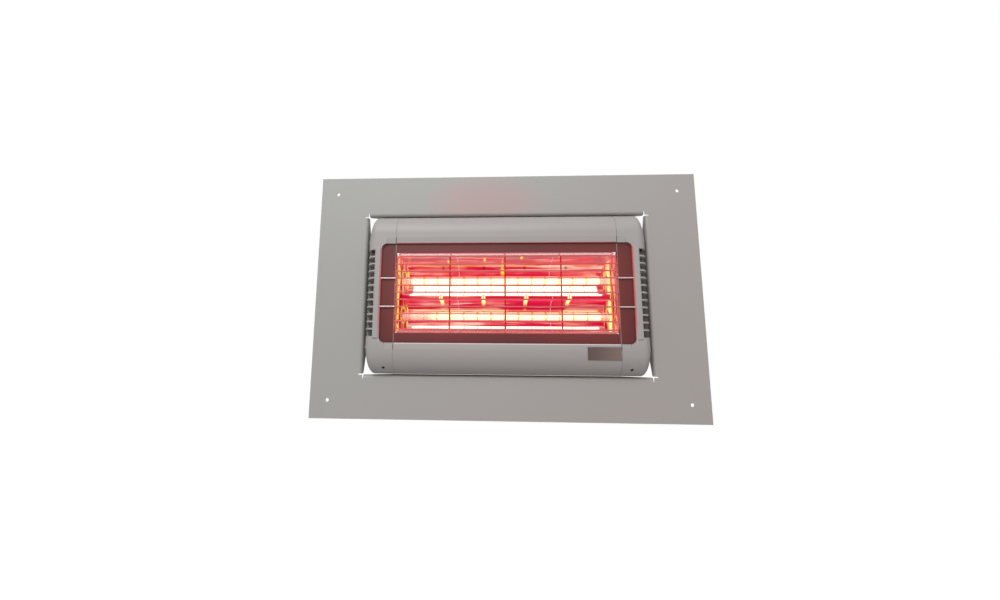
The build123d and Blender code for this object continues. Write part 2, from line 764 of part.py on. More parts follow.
def ridge_posts():
    """Posts from the rear panel that carry the reflectors' ridge."""
    start = ridge_y + 2 * mirror_t
    posts = []
    for x in ridge_xs():
        posts.append(rod_y(start, body_back, x, ridge_z, post_d)
                     - rod_y(start - past, start + ridge_screw_length, x, ridge_z, post_bore))
    return posts


def ridge_screws():
    """Screws through both lands into the posts."""
    return [rod_y(ridge_y - ridge_screw_head_t, ridge_y, x, ridge_z, ridge_screw_head_d)
            + rod_y(ridge_y, ridge_y + ridge_screw_length, x, ridge_z, ridge_screw_d) for x in ridge_xs()]


def rear_panel():
    """Flat rear panel with the holes for its screws, the leads and the terminal box."""
    panel = block(-rear_half_width, rear_half_width, body_back, rear_face, -rear_half_height, rear_half_height)
    panel = fillet(panel.edges().filter_by(Axis.Y), box_corner_r)
    for i in (-1, 0, 1):
        for s in (-1, 1):
            panel -= rod_y(body_back - past, rear_face + past, i * rear_screw_pitch, s * rear_screw_z,
                           rear_screw_d + screw_play)
    panel -= rod_y(body_back - past, rear_face + past, 0, lead_row_z, lead_hole_d)
    for x, z in box_corners():
        panel -= rod_y(body_back - past, rear_face + past, x, z, lid_screw_d)
    panel -= rod_y(body_back - past, rear_face + past, earth_x, 0, earth_d + screw_play)
    return panel


def rear_screws():
    """Screws that hold the rear panel to the profiles."""
    screws = []
    for i in (-1, 0, 1):
        for s in (-1, 1):
            x = i * rear_screw_pitch
            z = s * rear_screw_z
            screws.append(rod_y(rear_face, rear_face + screw_head_t, x, z, rear_screw_head_d)
                          + rod_y(rear_face - rear_screw_length, rear_face, x, z, rear_screw_d))
    return screws


def box_corners():
    """Screw places of the terminal box and its lid."""
    x = box_width / 2 - box_wall / 2 - lid_post_d / 2
    z = box_height / 2 - box_wall / 2 - lid_post_d / 2
    return [(-x, -z), (x, -z), (x, z), (-x, z)]


def terminal_box():
    """Tray on the rear panel with four lid posts, a lead hole and the gland's hole."""
    back = rear_face + box_depth
    outer = block(-box_width / 2, box_width / 2, rear_face, back, -box_height / 2, box_height / 2)
    outer = fillet(outer.edges().filter_by(Axis.Y), box_corner_r)
    inner = block(-box_width / 2 + box_wall, box_width / 2 - box_wall, rear_face + box_wall, back + past,
                  -box_height / 2 + box_wall, box_height / 2 - box_wall)
    shell = outer - fillet(inner.edges().filter_by(Axis.Y), box_wall)
    for x, z in box_corners():
        shell += rod_y(rear_face + past, back, x, z, lid_post_d)
    for x, z in box_corners():
        shell -= rod_y(back - lid_screw_length, back + past, x, z, lid_screw_d)
        shell -= rod_y(rear_face - past, rear_face + 2 * box_wall, x, z, lid_screw_d)
    shell -= rod_y(rear_face - past, rear_face + box_wall + past, 0, lead_row_z, lead_hole_d)
    shell -= rod_y(rear_face - past, rear_face + box_wall + past, earth_x, 0, earth_d + screw_play)
    shell -= rod_z(-box_height / 2 - past, -box_height / 2 + box_wall + past, gland_x, gland_y(),
                   gland_thread_d + gland_play)
    return shell


def gland_y():
    """Depth of the gland's axis: the middle of the terminal box."""
    return rear_face + box_depth / 2


def box_lid():
    """Lid of the terminal box."""
    y0 = rear_face + box_depth + lid_seal_t
    lid = block(-box_width / 2, box_width / 2, y0, y0 + lid_t, -box_height / 2, box_height / 2)
    lid = fillet(lid.edges().filter_by(Axis.Y), box_corner_r)
    for x, z in box_corners():
        lid -= rod_y(y0 - past, y0 + lid_t + past, x, z, lid_screw_d + screw_play)
    return lid


def box_lid_seal():
    """Seal between the terminal box and its lid."""
    y0 = rear_face + box_depth
    seal = block(-box_width / 2, box_width / 2, y0, y0 + lid_seal_t, -box_height / 2, box_height / 2)
    seal = fillet(seal.edges().filter_by(Axis.Y), box_corner_r)
    hole = block(-box_width / 2 + box_wall, box_width / 2 - box_wall, y0 - past, y0 + lid_seal_t + past,
                 -box_height / 2 + box_wall, box_height / 2 - box_wall)
    seal -= hole
    for x, z in box_corners():
        seal += rod_y(y0, y0 + lid_seal_t, x, z, lid_post_d)
    for x, z in box_corners():
        seal -= rod_y(y0 - past, y0 + lid_seal_t + past, x, z, lid_screw_d + screw_play)
    return seal


def lid_screws():
    """Four lid screws."""
    y0 = rear_face + box_depth + lid_seal_t + lid_t
    return [rod_y(y0, y0 + screw_head_t, x, z, lid_screw_head_d)
            + rod_y(y0 - lid_screw_length, y0, x, z, lid_screw_d) for x, z in box_corners()]


def box_screws():
    """Four screws from inside the body that hold the terminal box."""
    y0 = body_back
    return [rod_y(y0 - screw_head_t, y0, x, z, lid_screw_head_d)
            + rod_y(y0, y0 + box_screw_length, x, z, lid_screw_d) for x, z in box_corners()]


def terminal_block():
    """Ceramic block with a wire way from end to end for each pole."""
    y0 = rear_face + box_wall
    body = block(block_x - block_width / 2, block_x + block_width / 2, y0, y0 + block_depth,
                 -block_height / 2, block_height / 2)
    body = Pos(0, 0, block_shift()) * fillet(body.edges().filter_by(Axis.Y), box_wall)
    mid_y = y0 + block_depth / 2
    for x in pole_xs():
        body -= rod_z(block_shift() - block_height, block_shift() + block_height, x, mid_y, wire_way_d)
        for s in (-1, 1):
            body -= rod_y(mid_y, y0 + block_depth + past, x, block_shift() + s * block_height / 4, block_screw_d)
    return body


def block_shift():
    """Height of the terminal block: clear above the lead hole."""
    return lead_row_z - (lead_hole_d / 2 + grommet_lip + block_height / 2)


def pole_xs():
    """Places of the terminal block's poles."""
    pitch = (block_width - 2 * block_end_room) / block_screw_count
    return [block_x + (k - (block_screw_count - 1) / 2) * pitch for k in range(block_screw_count)]


def terminal_screws():
    """Clamping screws of the terminal block."""
    y0 = rear_face + box_wall + block_depth
    screws = []
    for x in pole_xs():
        for s in (-1, 1):
            screws.append(rod_y(y0 - block_depth / 2 + lead_d / 2, y0 - block_screw_sunk, x,
                                block_shift() + s * block_height / 4, block_screw_d))
    return screws


def lead_grommet():
    """Grommet in the lead hole, with a lip on each side of the panel and the box."""
    y0 = body_back - grommet_lip
    y1 = rear_face + box_wall + grommet_lip
    z = lead_row_z
    ring = rod_y(y0, y1, 0, z, lead_hole_d)
    ring += rod_y(y0, body_back, 0, z, lead_hole_d + 2 * grommet_lip)
    ring += rod_y(rear_face + box_wall, y1, 0, z, lead_hole_d + 2 * grommet_lip)
    return ring - rod_y(y0 - past, y1 + past, 0, z, grommet_bore)


def earth_stud():
    """Earth bolt through the rear panel and the box, with its nuts."""
    y0 = body_back - screw_head_t
    stud = rod_y(y0, y0 + earth_length, earth_x, 0, earth_d)
    stud += rod_y(y0, body_back, earth_x, 0, earth_nut_d)
    nut_y = rear_face + box_wall
    nut = Pos(earth_x, nut_y, 0) * Rot(-90, 0, 0) * extrude(RegularPolygon(earth_nut_d / 2, 6), earth_nut_t)
    return stud + nut


def gland_body():
    """Gland body: thread through the box wall, a hexagon and a neck for the nut."""
    wall_out = -box_height / 2
    y = gland_y()
    body = rod_z(wall_out, wall_out + box_wall + locknut_t + gland_thread_end, gland_x, y, gland_thread_d)
    hexagon = Pos(gland_x, y, wall_out - gland_flange_t) * extrude(RegularPolygon(gland_hex / 2, 6), gland_flange_t)
    body += hexagon
    body += rod_z(wall_out - gland_flange_t - gland_neck, wall_out - gland_flange_t, gland_x, y, gland_thread_d)
    return body - rod_z(wall_out - 2 * gland_neck, wall_out + gland_thread_d, gland_x, y, gland_bore)


def gland_locknut():
    """Nut on the gland's thread, inside the box."""
    z0 = -box_height / 2 + box_wall
    nut = Pos(gland_x, gland_y(), z0) * extrude(RegularPolygon(gland_hex / 2, 6), locknut_t)
    return nut - rod_z(z0 - past, z0 + locknut_t + past, gland_x, gland_y(), gland_thread_d + gland_play)


def gland_seal():
    """Rubber ring that grips the supply cable."""
    top = -box_height / 2 - gland_flange_t
    ring = rod_z(top - gland_seal_length, top, gland_x, gland_y(), gland_bore - gland_play)
    return ring - rod_z(top - gland_seal_length - past, top + past, gland_x, gland_y(), gland_seal_bore)


def gland_nut():
    """Domed nut over the neck and the seal."""
    top = -box_height / 2 - gland_flange_t - gland_play
    y = gland_y()
    nut = Pos(gland_x, y, top - gland_nut_length) * extrude(RegularPolygon(gland_nut_d / 2, 6), gland_nut_length)
    nut &= Pos(gland_x, y, top - gland_nut_length / 2) * Cylinder(gland_nut_d / 2 - gland_play, gland_nut_length)
    nut -= rod_z(top - gland_neck - gland_play, top + past, gland_x, y, gland_thread_d + gland_play)
    nut -= rod_z(top - gland_seal_length, top + past, gland_x, y, gland_bore)
    return nut - rod_z(top - gland_nut_length - past, top + past, gland_x, y, gland_outlet)


def lead(points):
    """One insulated lead along straight runs and bends."""
    path = FilletPolyline(*points, radius=lead_bend_r)
    return sweep(Plane(origin=path @ 0, z_dir=path % 0) * Circle(lead_d / 2), path=path)


def leads(side):
    """Leads from one side's two holders, along behind the reflectors and out through the grommet."""
    spread = {"upper": 1, "lower": -1}
    made = []
    for name, z in lamp_zs.items():
        x0 = side * (holder_pocket_end + tail_t / 2)
        if side > 0:
            x0 = side * (holder_pocket_end - tail_width)
        run_z = lead_row_z + spread[name] * lead_row_gap / 2
        x_in = side * (lead_d / 2 + lead_play)
        start_y = holder_back_y + bracket_t + tail_width if side < 0 else holder_back_y
        made.append(lead([
            (x0, start_y, z), (x0, lead_run_y, z), (side * (mirror_back_half - lead_bend_r), lead_run_y, run_z),
            (x_in, lead_run_y, run_z), (x_in, rear_face + box_wall + grommet_lip + past, run_z)]))
    return made


def cap_screws():
    """Screws that hold both end caps to the profiles."""
    screws = []
    for s in (-1, 1):
        head = s * (cap_start + cap_wall)
        for z in (cap_screw_z, -cap_screw_z):
            for y in (cap_screw_front_y, cap_screw_back_y):
                screws.append(rod_x(head, head + s * screw_head_t, y, z, cap_boss_d - profile_wall - screw_play)
                              + rod_x(head - s * cap_screw_length, head, y, z, cap_screw_d))
    return screws


def fixing_parts():
    """Screws and spacers between the flanges and the end caps."""
    screws = []
    spacers = []
    outer = opening_half_width + plate_sheet
    for sx in (-1, 1):
        for sz in (-1, 1):
            z = sz * fixing_z
            screws.append(rod_x(sx * outer, sx * (outer + fixing_head_t), fixing_y, z, fixing_head_d)
                          + rod_x(sx * (outer - fixing_length), sx * outer, fixing_y, z, fixing_d))
            spacers.append(rod_x(sx * body_half_width, sx * opening_half_width, fixing_y, z, fixing_spacer_d)
                           - rod_x(sx * (body_half_width - past), sx * (opening_half_width + past), fixing_y, z,
                                   fixing_d + screw_play))
    return {"body_fixing_screws": group(screws), "body_fixing_spacers": group(spacers)}


def badge_plate():
    """Thin bare plate on the flat of the lower profile, at its right end."""
    x1 = profile_half_length - badge_end_margin
    y = lip_y
    return block(x1 - badge_width, x1, y - badge_t, y, badge_top_z - badge_height, badge_top_z)


def build_all():
    """Every node by name."""
    nodes = {"recess_plate": recess_plate()}
    upper = rear_closed(housing_profile())
    nodes["upper_housing_profile"] = upper
    nodes["lower_housing_profile"] = mirror(upper, about=Plane.XY)
    cap = end_cap()
    nodes["right_end_cap"] = cap
    nodes["left_end_cap"] = other_side(cap)
    seal = end_gasket()
    nodes["right_end_gasket"] = seal
    nodes["left_end_gasket"] = other_side(seal)
    nodes.update(window_panels())
    nodes.update(guard())
    for name, z in lamp_zs.items():
        for piece, shape in lamp(z).items():
            nodes[name + "_lamp_" + piece] = shape
        nodes["right_" + name + "_lamp_holder"] = lamp_holder(z, True)
        nodes["left_" + name + "_lamp_holder"] = other_side(lamp_holder(z, False))
        nodes[name + "_sprung_contact"] = sprung_contact(z)
        nodes[name + "_contact_spring"] = contact_spring(z)
    nodes["fixed_contacts"] = group([fixed_contact(z) for z in lamp_zs.values()])
    bracket = holder_bracket()
    nodes["right_holder_bracket"] = bracket
    nodes["left_holder_bracket"] = other_side(bracket)
    nodes.update(reflectors())
    end = end_reflector()
    nodes["right_end_reflector"] = end
    nodes["left_end_reflector"] = other_side(end)
    nodes["ridge_posts"] = group(ridge_posts())
    nodes["small_inner_screws"] = group(holder_screws(1) + holder_screws(-1) + ridge_screws())
    nodes["rear_panel"] = rear_panel()
    nodes["rear_panel_screws"] = group(rear_screws())
    nodes["terminal_box"] = terminal_box()
    nodes["terminal_box_lid"] = box_lid()
    nodes["terminal_box_seal"] = box_lid_seal()
    nodes["terminal_box_screws"] = group(lid_screws() + box_screws())
    nodes["terminal_block"] = terminal_block()
    nodes["terminal_screws"] = group(terminal_screws())
    nodes["lead_grommet"] = lead_grommet()
    nodes["earth_stud"] = earth_stud()
    nodes["cable_gland_body"] = gland_body()
    nodes["cable_gland_locknut"] = gland_locknut()
    nodes["cable_gland_seal"] = gland_seal()
    nodes["cable_gland_nut"] = gland_nut()
    nodes["internal_leads"] = group(leads(-1) + leads(1))
    nodes["end_cap_screws"] = group(cap_screws())
    nodes.update(fixing_parts())
    nodes["badge_plate"] = badge_plate()
    return nodes


os.makedirs("parts", exist_ok=True)
for node, shape in build_all().items():
    export_step(shape, "parts/" + node + ".step")
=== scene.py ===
import json
import math

import bmesh
import bpy
from mathutils import Matrix, Vector


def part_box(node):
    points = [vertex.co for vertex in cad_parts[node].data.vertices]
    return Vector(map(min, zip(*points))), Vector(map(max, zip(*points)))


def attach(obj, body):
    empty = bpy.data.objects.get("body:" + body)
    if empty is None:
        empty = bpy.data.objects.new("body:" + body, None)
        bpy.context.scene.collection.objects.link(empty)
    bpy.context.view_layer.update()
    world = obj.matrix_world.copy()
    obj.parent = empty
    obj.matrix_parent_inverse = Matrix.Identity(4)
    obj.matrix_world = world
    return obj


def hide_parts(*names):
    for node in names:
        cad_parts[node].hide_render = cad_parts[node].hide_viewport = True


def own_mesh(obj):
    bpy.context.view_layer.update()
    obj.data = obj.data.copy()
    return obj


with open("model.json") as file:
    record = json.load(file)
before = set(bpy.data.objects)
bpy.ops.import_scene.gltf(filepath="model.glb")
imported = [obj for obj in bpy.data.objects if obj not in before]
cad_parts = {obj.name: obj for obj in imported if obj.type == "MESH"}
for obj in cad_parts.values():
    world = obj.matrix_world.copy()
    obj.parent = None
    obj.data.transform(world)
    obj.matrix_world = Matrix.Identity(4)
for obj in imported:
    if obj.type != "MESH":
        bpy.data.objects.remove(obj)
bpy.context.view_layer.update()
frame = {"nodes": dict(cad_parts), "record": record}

# The photograph's frame, in pixels, and the camera that took it, in the heater's own axes
PHOTO_WIDTH = 1000
LENS_PX = 440.0
CENTRE_PX = (468.0, 268.2)
PHOTO_CENTRE_PX = (500.0, 300.0)
SENSOR_MM = 36.0
EYE = Vector((-0.0176, -0.6274, -0.0655))
EYE_RIGHT = Vector((0.99845, 0.05526, 0.00660))
EYE_UP = Vector((0.00238, -0.16088, 0.98697))
EYE_AHEAD = Vector((-0.05560, 0.98543, 0.16077))

MM = 0.001

# Lamps: half the heated length, pitch of the filament's supports, and the filament as wound
LAMP_HALF_HEAT = 140 * MM
SUPPORT_PITCH = 20 * MM
COIL_RADIUS = 1.05 * MM
COIL_WIRE = 0.8 * MM
COIL_PITCH = 1.5 * MM

# Mirrors: pitch of the ridge's fixings, place of the seam, and a point inside each trough's hollow
FIXING_PITCH = 62 * MM
MIRROR_SEAM = 69 * MM
HOLLOW_Y = -10 * MM
HOLLOW_Z = {"upper": 26 * MM, "lower": -29 * MM}
LAMP_EYE_Y = 22 * MM

# Window, and the drain hole in each end cap: its place, slope and radius
WINDOW_HALF_HEIGHT = 70 * MM
WINDOW_HALF_WIDTH = 175.5 * MM
DRAIN_X = 168.5 * MM
DRAIN_Y = -13.25 * MM
DRAIN_Z = -104 * MM
DRAIN_ANGLE = math.radians(41)
DRAIN_RADIUS = 2.1 * MM

# Contact springs
SPRING_WIRE = 0.7 * MM
SPRING_TURNS = 5

# Studio: the world's strength as light and as seen, the floor, and the soft lamp
WORLD_LIGHT = 0.45
WORLD_SEEN = 1.0
FLOOR_HALF = 30.0
FLOOR_HEIGHT = -1.3
FLOOR_GLOW = (0.6, 0.6, 0.6, 1.0)
KEY_PLACE = (-0.44, -1.65, 1.39)
KEY_SIZE = 1.2
KEY_WATTS = 31.0

BLACK = (0.0, 0.0, 0.0, 1.0)
WHITE = (1.0, 1.0, 1.0, 1.0)


def middle(node):
    """Centre of a CAD node's box."""
    low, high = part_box(node)
    return (Vector(low) + Vector(high)) / 2


def srgb(r, g, b):
    """A colour as the eye reads it, 0 to 255, as the shader wants it."""
    def linear(v):
        v = v / 255
        return v / 12.92 if v <= 0.04045 else ((v + 0.055) / 1.055) ** 2.4
    return (linear(r), linear(g), linear(b), 1.0)


class Value:
    """A shader socket that takes part in ordinary arithmetic."""

    def __init__(self, finish, socket):
        self.finish = finish
        self.socket = socket

    def using(self, operation, *others):
        return self.finish.node("ShaderNodeMath", {"operation": operation},
                                {i: v for i, v in enumerate((self,) + others)})

    def __add__(self, other):
        return self.using("ADD", other)

    def __sub__(self, other):
        return self.using("SUBTRACT", other)

    def __rsub__(self, other):
        return self.finish.node("ShaderNodeMath", {"operation": "SUBTRACT"}, {0: other, 1: self})

    def __mul__(self, other):
        return self.using("MULTIPLY", other)

    def __truediv__(self, other):
        return self.using("DIVIDE", other)

    def __pow__(self, other):
        return self.using("POWER", other)

    def __abs__(self):
        return self.using("ABSOLUTE")

    def wave(self):
        return self.using("SINE")

    def above(self, level, soft):
        """0 below the level and 1 above it, with a soft step between."""
        return self.finish.node("ShaderNodeMapRange", {"interpolation_type": "SMOOTHSTEP"},
                                {0: self, 1: level - soft, 2: level + soft, 3: 0.0, 4: 1.0})

    __radd__ = __add__
    __rmul__ = __mul__


class Finish:
    """A material in the making: one Principled shader and whatever feeds it."""

    def __init__(self, name, **fixed):
        self.material = bpy.data.materials.new(name)
        self.material.use_nodes = True
        self.tree = self.material.node_tree
        self.shader = self.tree.nodes["Principled BSDF"]
        for socket, value in fixed.items():
            self.shader.inputs[socket.replace("_", " ")].default_value = value

    def node(self, kind, settings=None, inputs=None, out=0):
        """Adds any node: its settings first, then the values or links of its sockets."""
        node = self.tree.nodes.new(kind)
        for key, value in (settings or {}).items():
            if key == "stops":
                for i, (place, colour) in enumerate(value):
                    made = node.color_ramp.elements
                    stop = made[i] if i < 2 else made.new(place)
                    stop.position = place
                    stop.color = colour
            else:
                setattr(node, key, value)
        for key, value in (inputs or {}).items():
            self.put(node.inputs[key], value)
        return Value(self, node.outputs[out])

    def put(self, socket, value):
        """Links a value to a socket, or sets it there when it is a constant."""
        if isinstance(value, Value):
            self.tree.links.new(value.socket, socket)
        else:
            socket.default_value = value

    def feed(self, **sockets):
        """Links what varies over the surface to the shader."""
        for name, value in sockets.items():
            self.put(self.shader.inputs[name.replace("_", " ")], value)
        return self

    def place(self):
        """The point on the piece, in metres, as a vector and as its three values."""
        point = self.node("ShaderNodeTexCoord", out=3)
        parts = [self.node("ShaderNodeSeparateXYZ", None, {0: point}, out=i) for i in range(3)]
        return point, parts

    def stretched(self, point, x, y, z):
        """The point with each axis at its own scale."""
        return self.node("ShaderNodeVectorMath", {"operation": "MULTIPLY"}, {0: point, 1: (x, y, z)})

    def noise(self, point, scale, detail=2.0, rough=0.5):
        return self.node("ShaderNodeTexNoise", None,
                         {"Vector": point, "Scale": scale, "Detail": detail, "Roughness": rough})

    def mix(self, share, first, second):
        return self.node("ShaderNodeMix", {"data_type": "RGBA"}, {0: share, 6: first, 7: second}, out=2)

    def ramp(self, value, low, high, stops):
        """A colour that follows a value from low to high through stops given in the value's own unit."""
        share = self.node("ShaderNodeMapRange", None, {0: value, 1: low, 2: high})
        places = [((place - low) / (high - low), colour) for place, colour in stops]
        return self.node("ShaderNodeValToRGB", {"stops": places}, {0: share})

    def spot(self, value, place, reach):
        """1 at a place, falling to 0 at the reach on both sides."""
        return 1.0 - abs(value - place).above(reach / 2, reach / 2)

    def bump(self, height, strength, distance):
        return self.node("ShaderNodeBump", None,
                         {"Height": height, "Strength": strength, "Distance": distance})


def powder_coat(name, light, dark, rough, edge=None):
    """Satin powder coat: a faint mottle, a fine orange peel, painted shade towards the bottom, the window's
    rim with the lamps' glow and a highlight painted on, and painted shade inside the drain holes.
    """
    f = Finish(name, IOR=1.5, Emission_Strength=1.0 if edge == "upright" else 0.0)
    point, (x, y, z) = f.place()
    cloud = f.noise(point, 9.0, 3.0)
    peel = f.noise(point, 900.0, 2.0)
    base = f.mix(cloud, dark, light)
    # Painted shade: the coat is painted darker towards the bottom, below z = -78 mm.
    base = f.mix((1.0 - z.above(-78 * MM, 13 * MM)) * 0.4, base, srgb(139, 131, 129))
    front = 1.0 - y.above(-15.5 * MM, 1.0 * MM)
    if edge == "flat":
        # Painted light on the profile's window rim: the lamps' red glow at its top edge, a pale painted
        # highlight at its bottom edge.
        rim = f.spot(z, WINDOW_HALF_HEIGHT + 0.2 * MM, 0.9 * MM) * front
        base = f.mix(rim * 0.85, base, srgb(196, 52, 62))
        rim = f.spot(z, -WINDOW_HALF_HEIGHT - 0.6 * MM, 1.3 * MM) * front
        base = f.mix(rim * 0.9, base, srgb(226, 212, 210))
    if edge == "upright":
        # Painted light on the cap's window rim: the lamps' glow, pale above and red below, in the base colour
        # and the emission.
        rim = f.spot(abs(x), WINDOW_HALF_WIDTH + 0.1 * MM, 1.1 * MM) * front
        rim = rim * (1.0 - abs(z).above(WINDOW_HALF_HEIGHT - 3 * MM, 6 * MM))
        low = z.above(-48 * MM, 12 * MM)
        base = f.mix(rim * 0.9, base, f.mix(low, srgb(232, 190, 188), srgb(230, 112, 110)))
        f.feed(Emission_Color=f.mix(rim * low, BLACK, srgb(84, 20, 22)))
        # Painted shade: the inside of the drain hole is painted dark below its top.
        across = abs(x) - DRAIN_X
        up = (z - DRAIN_Z) * math.cos(DRAIN_ANGLE) - (y - DRAIN_Y) * math.sin(DRAIN_ANGLE)
        drain = 1.0 - ((across * across + up * up) ** 0.5).above(DRAIN_RADIUS, 0.15 * MM)
        base = f.mix(drain * (1.0 - z.above(DRAIN_Z + 4 * MM, 1 * MM)), base, srgb(34, 30, 29))
    f.feed(Base_Color=base, Roughness=rough + 0.1 * cloud, Normal=f.bump(peel, 0.12, 0.0003))
    return f


def plate_paint():
    """The recess plate's coat, a little cooler at its top left, with a painted pink glow of the lamps on its
    front above the window.
    """
    f = Finish("plate_paint", IOR=1.5)
    point, (x, y, z) = f.place()
    cloud = f.noise(point, 7.0, 3.0)
    slope = ((x - z) * 1.4 + 0.5).above(0.5, 0.55)
    base = f.mix(slope, srgb(165, 165, 161), srgb(168, 160, 157))
    base = f.mix(cloud * 0.35, base, srgb(163, 160, 156))
    # Painted light: a soft pink patch of the lamps' glow above the window, on the front face only.
    spread = ((x + 0.03) * (x + 0.03) * 90.0 + (z - 0.135) * (z - 0.135) * 420.0)
    glow = (1.0 - spread.above(0.45, 0.55)) * (1.0 - y.above(0.7 * MM, 0.3 * MM)) * 0.55
    base = f.mix(glow, base, srgb(186, 148, 148))
    peel = f.noise(point, 900.0, 2.0)
    f.feed(Base_Color=base, Roughness=0.5 + 0.1 * cloud, Normal=f.bump(peel, 0.1, 0.0003))
    return f


def bronze_panel():
    """Dark bronze enamel round the window, with painted faint slanting sheens and the lamps' red light
    painted on near the window.
    """
    f = Finish("window_dark", IOR=1.45, Coat_Weight=0.15, Coat_Roughness=0.2)
    point, (x, y, z) = f.place()
    # Painted sheen: faint slanting streaks of reflection.
    sheen = (x * 34.0 + z * 46.0 + f.noise(point, 12.0) * 2.0).wave() * 0.5 + 0.5
    base = f.mix(sheen * 0.7, srgb(86, 16, 12), srgb(100, 26, 20))
    # Painted red light of the lamps near the window's edge.
    near = (1.0 - (abs(z) - 0.0565).above(0.004, 0.012)) * (1.0 - (abs(x) - 0.155).above(0.006, 0.014))
    base = f.mix(near * 0.3, base, srgb(140, 50, 48))
    joint = f.spot(abs(x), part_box("window_panel_top")[1][0] + 0.2 * MM, 0.9 * MM)
    base = f.mix(joint * 0.8, base, srgb(176, 156, 152))
    f.feed(Base_Color=base, Roughness=0.42 + 0.08 * sheen,
           Normal=f.bump(f.noise(point, 500.0), 0.05, 0.0002))
    return f


def along_lamp(f, x):
    """What the lamps' length does to light in the mirrors: its ends and the filament's supports."""
    lit = 1.0 - abs(x).above(LAMP_HALF_HEAT - 1 * MM, 2.5 * MM)
    between = abs((x * (math.pi / SUPPORT_PITCH)).wave()).above(0.10, 0.08)
    return lit, between


def at_fixings(f, x, reach):
    """Near 1 in line with the four ridge fixings."""
    nearest = abs(abs(x) - FIXING_PITCH) - 0.5 * FIXING_PITCH
    return 1.0 - abs(nearest).above(reach / 2, reach / 2)


def inward(f, point, hollow):
    """1 on the faces that look into the trough's hollow, 0 on the sheet's back."""
    toward = f.node("ShaderNodeVectorMath", {"operation": "SUBTRACT"}, {0: hollow, 1: point})
    toward = f.stretched(toward, 0.0, 1.0, 1.0)
    facing = f.node("ShaderNodeTexCoord", out=1)
    along = f.node("ShaderNodeVectorMath", {"operation": "DOT_PRODUCT"}, {0: facing, 1: toward}, out=1)
    return along.above(-2 * MM, 2 * MM)


